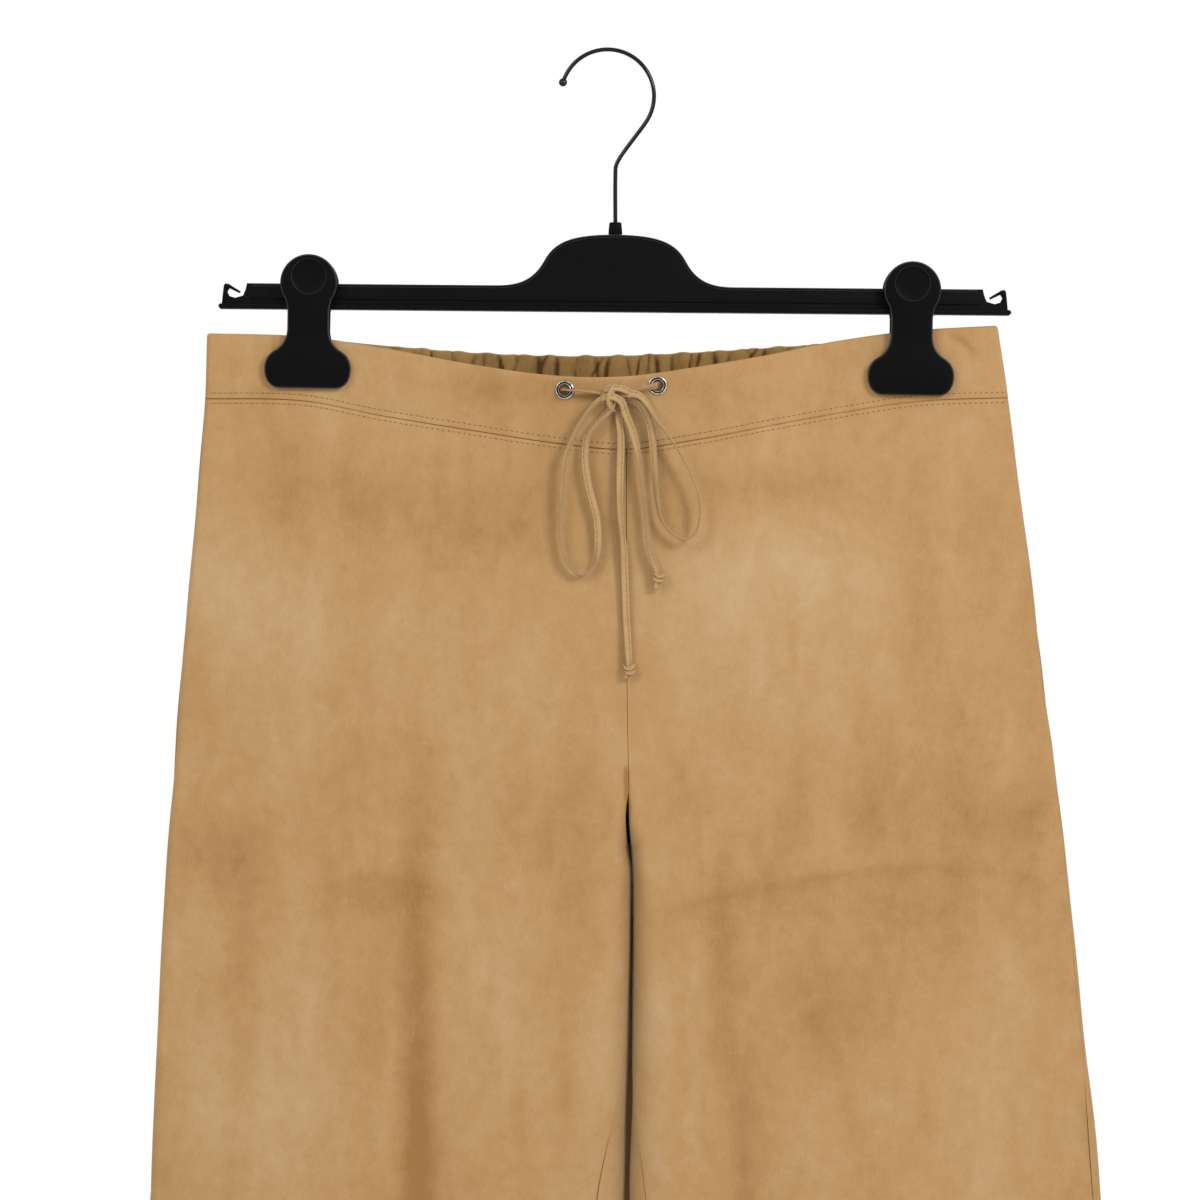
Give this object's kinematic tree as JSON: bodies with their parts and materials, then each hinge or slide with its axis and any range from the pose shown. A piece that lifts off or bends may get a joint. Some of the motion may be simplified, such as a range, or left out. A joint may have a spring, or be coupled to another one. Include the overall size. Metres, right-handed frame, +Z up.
{
  "type": "suede trousers on a clip hanger",
  "caption": "Wide-leg suede trousers with a drawstring waist, hung flat by the waistband from a plain clip hanger with a wire hook.",
  "frame": {"origin": "the inside of the hook's top, where the rod bears", "axes": "+Z up along the hang, -Y the side that the front faces, +X to the right in the front view"},
  "size_m": [0.571, 0.0617, 1.1822],
  "materials": {
    "suede": "matte suede nap",
    "lace": "matte suede",
    "eyelet": "polished, darkened in its groove",
    "hanger_plastic": "satin black",
    "hook_wire": "dark satin"
  },
  "bodies": {
    "root": {"front_leg_left_side_top": "suede", "front_leg_left_side_leg": "suede", "front_leg_left_middle_top": "suede", "front_leg_left_middle_leg": "suede", "front_leg_left_inner_top": "suede", "front_leg_left_inner_leg": "suede", "front_leg_right_side_top": "suede", "front_leg_right_side_leg": "suede", "front_leg_right_middle_top": "suede", "front_leg_right_middle_leg": "suede", "front_leg_right_inner_top": "suede", "front_leg_right_inner_leg": "suede", "back_leg_left_side_top": "suede", "back_leg_left_side_leg": "suede", "back_leg_left_middle_top": "suede", "back_leg_left_middle_leg": "suede", "back_leg_left_near_top": "suede", "back_leg_left_near_leg": "suede", "back_leg_left_inner_top": "suede", "back_leg_left_inner_leg": "suede", "back_leg_right_side_top": "suede", "back_leg_right_side_leg": "suede", "back_leg_right_middle_top": "suede", "back_leg_right_middle_leg": "suede", "back_leg_right_near_top": "suede", "back_leg_right_near_leg": "suede", "back_leg_right_inner_top": "suede", "back_leg_right_inner_leg": "suede", "waistband_front": "suede", "waistband_back": "suede", "lace_run_left": "lace", "lace_run_right": "lace", "lace_loop_left": "lace", "lace_loop_right": "lace", "lace_tail_long": "lace", "lace_tail_short": "lace", "lace_knot": "lace", "lace_end_long": "lace", "lace_end_short": "lace", "eyelet_left": "eyelet", "eyelet_right": "eyelet", "hanger_bar": "hanger_plastic", "clip_left_front_jaw": "hanger_plastic", "clip_left_back_jaw": "hanger_plastic", "clip_right_front_jaw": "hanger_plastic", "clip_right_back_jaw": "hanger_plastic", "hanger_hook": "hook_wire", "clip_left_spring": "hook_wire", "clip_right_spring": "hook_wire"}
  },
  "joints": []
}
